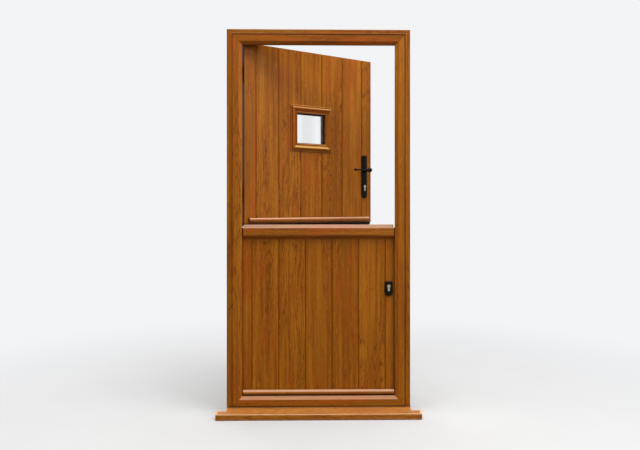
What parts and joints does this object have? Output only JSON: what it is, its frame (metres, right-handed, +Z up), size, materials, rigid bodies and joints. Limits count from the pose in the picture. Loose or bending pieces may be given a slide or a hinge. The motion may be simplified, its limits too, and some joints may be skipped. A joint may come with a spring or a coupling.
{
  "type": "stable door",
  "caption": "Split stable door with two inward-opening leaves, small window, lever handle, ledge, drip bars, mitred frame and projecting sill.",
  "frame": {"origin": "on the sill's underside, midway between the jambs, in the plane of the frame's outer face", "axes": "+Z up, +X to the right seen from outdoors (towards the lock jamb), +Y indoors"},
  "size_m": [1.02, 0.6265, 1.952],
  "materials": {
    "oak_foil_upright": "golden oak woodgrain foil, grain upright, satin",
    "oak_foil_level": "golden oak woodgrain foil, grain level, satin",
    "galvanised_steel": "galvanised",
    "seal_rubber": "matt black",
    "black_hardware": "black powder coat",
    "lock_steel": "zinc plated",
    "nickel": "satin nickel",
    "glass": "clear",
    "spacer_aluminium": "satin"
  },
  "bodies": {
    "frame": {"hinge_jamb": "oak_foil_upright", "lock_jamb": "oak_foil_upright", "head": "oak_foil_level", "threshold": "oak_foil_level", "hinge_jamb_steel": "galvanised_steel", "lock_jamb_steel": "galvanised_steel", "head_steel": "galvanised_steel", "threshold_steel": "galvanised_steel", "hinge_extension": "oak_foil_upright", "lock_extension": "oak_foil_upright", "head_extension": "oak_foil_level", "sill": "oak_foil_level", "sill_end_caps": "oak_foil_level", "frame_seal": "seal_rubber", "frame_hinge_flags": "black_hardware", "hinge_pins": "black_hardware", "upper_keep": "lock_steel", "lower_keep": "lock_steel", "frame_screws": "lock_steel"},
    "upper_leaf": {"upper_slab": "oak_foil_upright", "upper_drip_bar": "oak_foil_level", "meeting_seal": "seal_rubber", "cassette_outer": "oak_foil_upright", "cassette_inner": "oak_foil_upright", "cassette_screws": "lock_steel", "pane_outer": "glass", "pane_inner": "glass", "pane_spacer": "spacer_aluminium", "handle_plate_outer": "black_hardware", "handle_plate_inner": "black_hardware", "handle_plate_screws": "lock_steel", "upper_lock_case": "lock_steel", "upper_faceplate": "lock_steel", "upper_cylinder": "nickel", "upper_hinge_flags": "black_hardware", "upper_screws": "lock_steel", "joining_housing": "black_hardware", "housing_screws": "lock_steel"},
    "upper_lever": {"lever_outer": "black_hardware", "lever_inner": "black_hardware", "spindle": "lock_steel"},
    "upper_latch": {"latch": "lock_steel"},
    "upper_key_plug": {"upper_plug": "nickel"},
    "upper_bolt": {"upper_deadbolt": "lock_steel"},
    "joining_bolt": {"joining_bolt": "black_hardware"},
    "lower_leaf": {"lower_slab": "oak_foil_upright", "lower_drip_bar": "oak_foil_level", "ledge": "oak_foil_level", "ledge_end_caps": "oak_foil_level", "escutcheon_outer": "black_hardware", "escutcheon_inner": "black_hardware", "lower_lock_case": "lock_steel", "lower_faceplate": "lock_steel", "lower_cylinder": "nickel", "lower_hinge_flags": "black_hardware", "lower_screws": "lock_steel", "joining_keep": "black_hardware", "joining_keep_screws": "lock_steel"},
    "lower_key_plug": {"lower_plug": "nickel"},
    "lower_bolt": {"lower_deadbolt": "lock_steel"}
  },
  "joints": [
    {"name": "upper_leaf_swing", "type": "hinge", "parent": "frame", "child": "upper_leaf", "pos_m": [-0.4175, 0.0825, 1.43], "axis": [0, 0, 1], "range_deg": [-32.2, 67.8], "deforming": ["meeting_seal"]},
    {"name": "lower_leaf_swing", "type": "hinge", "parent": "frame", "child": "lower_leaf", "pos_m": [-0.4175, 0.0825, 0.51], "axis": [0, 0, 1], "range_deg": [0, 100]},
    {"name": "lever_turn", "type": "hinge", "parent": "upper_leaf", "child": "upper_lever", "pos_m": [0.25615, 0.46713, 1.262], "axis": [0.5329, -0.8462, 0], "range_deg": [0, 40], "stiffness_Nm_per_rad": 2, "springref_deg": -22.92},
    {"name": "latch_slide", "type": "slide", "parent": "upper_leaf", "child": "upper_latch", "axis": [-0.8462, -0.5329, 0], "range_m": [0, 0.012]},
    {"name": "upper_key_turn", "type": "hinge", "parent": "upper_leaf", "child": "upper_key_plug", "pos_m": [0.25615, 0.46713, 1.17], "axis": [0.5329, -0.8462, 0], "range_deg": [0, 360]},
    {"name": "upper_deadbolt_slide", "type": "slide", "parent": "upper_leaf", "child": "upper_bolt", "axis": [0.8462, 0.5329, 0], "range_m": [0, 0.02]},
    {"name": "joining_bolt_slide", "type": "slide", "parent": "upper_leaf", "child": "joining_bolt", "axis": [0, 0, -1], "range_m": [0, 0.04]},
    {"name": "lower_key_turn", "type": "hinge", "parent": "lower_leaf", "child": "lower_key_plug", "pos_m": [0.3575, 0.049, 0.649], "axis": [0, -1, 0], "range_deg": [0, 360]},
    {"name": "lower_deadbolt_slide", "type": "slide", "parent": "lower_leaf", "child": "lower_bolt", "axis": [1, 0, 0], "range_m": [0, 0.02]}
  ],
  "couplings": [
    {"joint": "latch_slide", "follows": "lever_turn", "m_per_rad": 0.01718},
    {"joint": "upper_key_turn", "follows": "upper_deadbolt_slide", "rad_per_m": 314.15},
    {"joint": "lower_key_turn", "follows": "lower_deadbolt_slide", "rad_per_m": 314.15}
  ]
}
